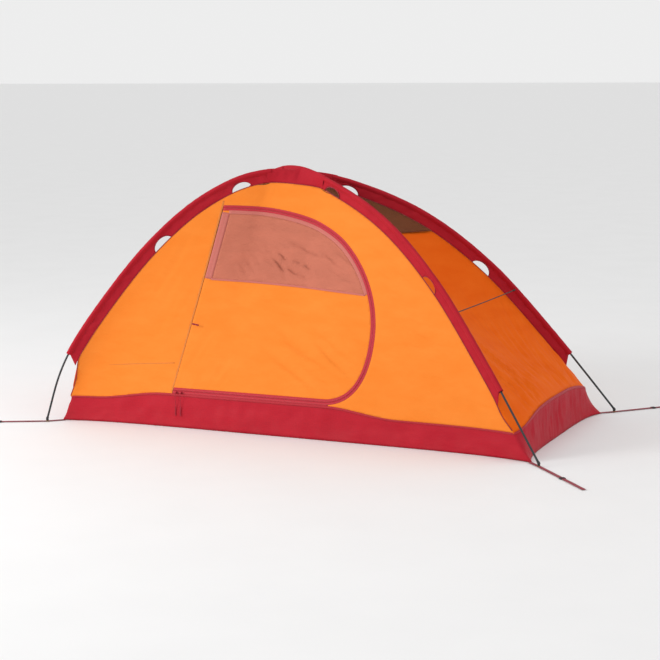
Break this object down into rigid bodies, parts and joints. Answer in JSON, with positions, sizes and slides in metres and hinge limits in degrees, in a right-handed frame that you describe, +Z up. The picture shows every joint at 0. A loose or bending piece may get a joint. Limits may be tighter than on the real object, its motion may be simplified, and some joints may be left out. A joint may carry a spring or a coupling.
{
  "type": "tent on poles",
  "caption": "Low dome tent inner: crossing bent poles in finned fabric sleeves carry a canopy with a zipped side door, mesh window and vents over a bathtub floor with corner straps.",
  "frame": {"origin": "middle of the groundsheet's flat underside, on the ground midway between the pole feet", "axes": "+Z up, +X along the tent from the tall end over the door to the end with the tie cord, +Y from the door side to the back"},
  "size_m": [2.6786, 1.7022, 1.089],
  "materials": {
    "canopy_cloth": "light plain-weave nylon with a water-repellent finish",
    "sleeve_cloth": "light plain-weave nylon",
    "tub_cloth": "coated ripstop nylon, slightly glossy",
    "window_mesh": "fine insect mesh",
    "vent_mesh": "fine insect mesh",
    "zip_tape": "woven zip tape",
    "webbing": "flat woven webbing",
    "pull_tape": "braided pull tape",
    "shock_cord": "braided sleeve over rubber strands",
    "tie_cord": "thin braided cord",
    "pole": "dark anodised drawn tube",
    "tip_plastic": "moulded nylon",
    "black_plastic": "moulded acetal",
    "slider_metal": "enamelled die-cast zinc",
    "brass": "pressed eyelet"
  },
  "bodies": {
    "tent": {"corner_strap_back_left": "webbing", "corner_strap_back_right": "webbing", "corner_strap_front_left": "webbing", "corner_strap_front_right": "webbing", "crown_patch": "sleeve_cloth", "end_tie_cord": "tie_cord", "end_tie_hook": "black_plastic", "eyelet_back_left": "brass", "eyelet_back_right": "brass", "eyelet_front_left": "brass", "eyelet_front_right": "brass", "groundsheet": "tub_cloth", "pole_over_tube_1": "pole", "pole_over_tube_2": "pole", "pole_over_tube_3": "pole", "pole_over_tube_4": "pole", "pole_over_tube_5": "pole", "pole_over_tube_6": "pole", "pole_over_tube_7": "pole", "pole_tip_back_left": "tip_plastic", "pole_tip_back_right": "tip_plastic", "pole_tip_front_left": "tip_plastic", "pole_tip_front_right": "tip_plastic", "pole_under_tube_1": "pole", "pole_under_tube_2": "pole", "pole_under_tube_3": "pole", "pole_under_tube_4": "pole", "pole_under_tube_5": "pole", "pole_under_tube_6": "pole", "pole_under_tube_7": "pole", "shock_cord_over": "shock_cord", "shock_cord_under": "shock_cord", "sleeve_back_left": "sleeve_cloth", "sleeve_back_right": "sleeve_cloth", "sleeve_front_left": "sleeve_cloth", "sleeve_front_right": "sleeve_cloth", "tub_back": "tub_cloth", "tub_front": "tub_cloth", "tub_left": "tub_cloth", "tub_right": "tub_cloth", "vent_left": "vent_mesh", "vent_right": "vent_mesh", "wall_back": "canopy_cloth", "wall_front": "canopy_cloth", "wall_left": "canopy_cloth", "wall_right": "canopy_cloth", "zip_tape_wall": "zip_tape"},
    "door": {"door_panel": "canopy_cloth", "door_window": "window_mesh", "zip_tape_door": "zip_tape", "door_toggle": "pull_tape"},
    "zip_slider_lead": {"zip_slider_lead": "slider_metal"},
    "zip_pull_lead": {"zip_pull_lead": "pull_tape"},
    "zip_slider_tail": {"zip_slider_tail": "slider_metal"},
    "zip_pull_tail": {"zip_pull_tail": "pull_tape"},
    "ladder_lock_front_left": {"ladder_lock_front_left": "black_plastic"},
    "ladder_lock_back_right": {"ladder_lock_back_right": "black_plastic"},
    "ladder_lock_back_left": {"ladder_lock_back_left": "black_plastic"},
    "ladder_lock_front_right": {"ladder_lock_front_right": "black_plastic"}
  },
  "joints": [
    {"name": "door_swing", "type": "hinge", "parent": "tent", "child": "door", "pos_m": [-0.552, -0.43907, 0.1385], "axis": [-0.1475, -0.3133, -0.9381], "range_deg": [0, 115]},
    {"name": "zip_run_lead", "type": "slide", "parent": "tent", "child": "zip_slider_lead", "axis": [1, 0, 0], "range_m": [0, 0.6]},
    {"name": "zip_run_tail", "type": "slide", "parent": "tent", "child": "zip_slider_tail", "axis": [1, 0, 0], "range_m": [-0.012, 0.012]},
    {"name": "pull_swing_lead", "type": "hinge", "parent": "zip_slider_lead", "child": "zip_pull_lead", "pos_m": [-0.504, -0.45407, 0.1438], "axis": [1, 0, 0], "range_deg": [-80, 0]},
    {"name": "pull_swing_tail", "type": "hinge", "parent": "zip_slider_tail", "child": "zip_pull_tail", "pos_m": [-0.528, -0.45407, 0.1438], "axis": [1, 0, 0], "range_deg": [-80, 0]},
    {"name": "strap_adjust_front_left", "type": "slide", "parent": "tent", "child": "ladder_lock_front_left", "axis": [-0.8988, -0.4384, 0], "range_m": [-0.18, 0.02]},
    {"name": "strap_adjust_back_right", "type": "slide", "parent": "tent", "child": "ladder_lock_back_right", "axis": [0.6691, 0.7431, 0], "range_m": [-0.18, 0.165]},
    {"name": "strap_adjust_back_left", "type": "slide", "parent": "tent", "child": "ladder_lock_back_left", "axis": [-0.8988, 0.4384, 0], "range_m": [-0.18, 0.02]},
    {"name": "strap_adjust_front_right", "type": "slide", "parent": "tent", "child": "ladder_lock_front_right", "axis": [0.6691, -0.7431, 0], "range_m": [-0.18, 0.165]}
  ]
}
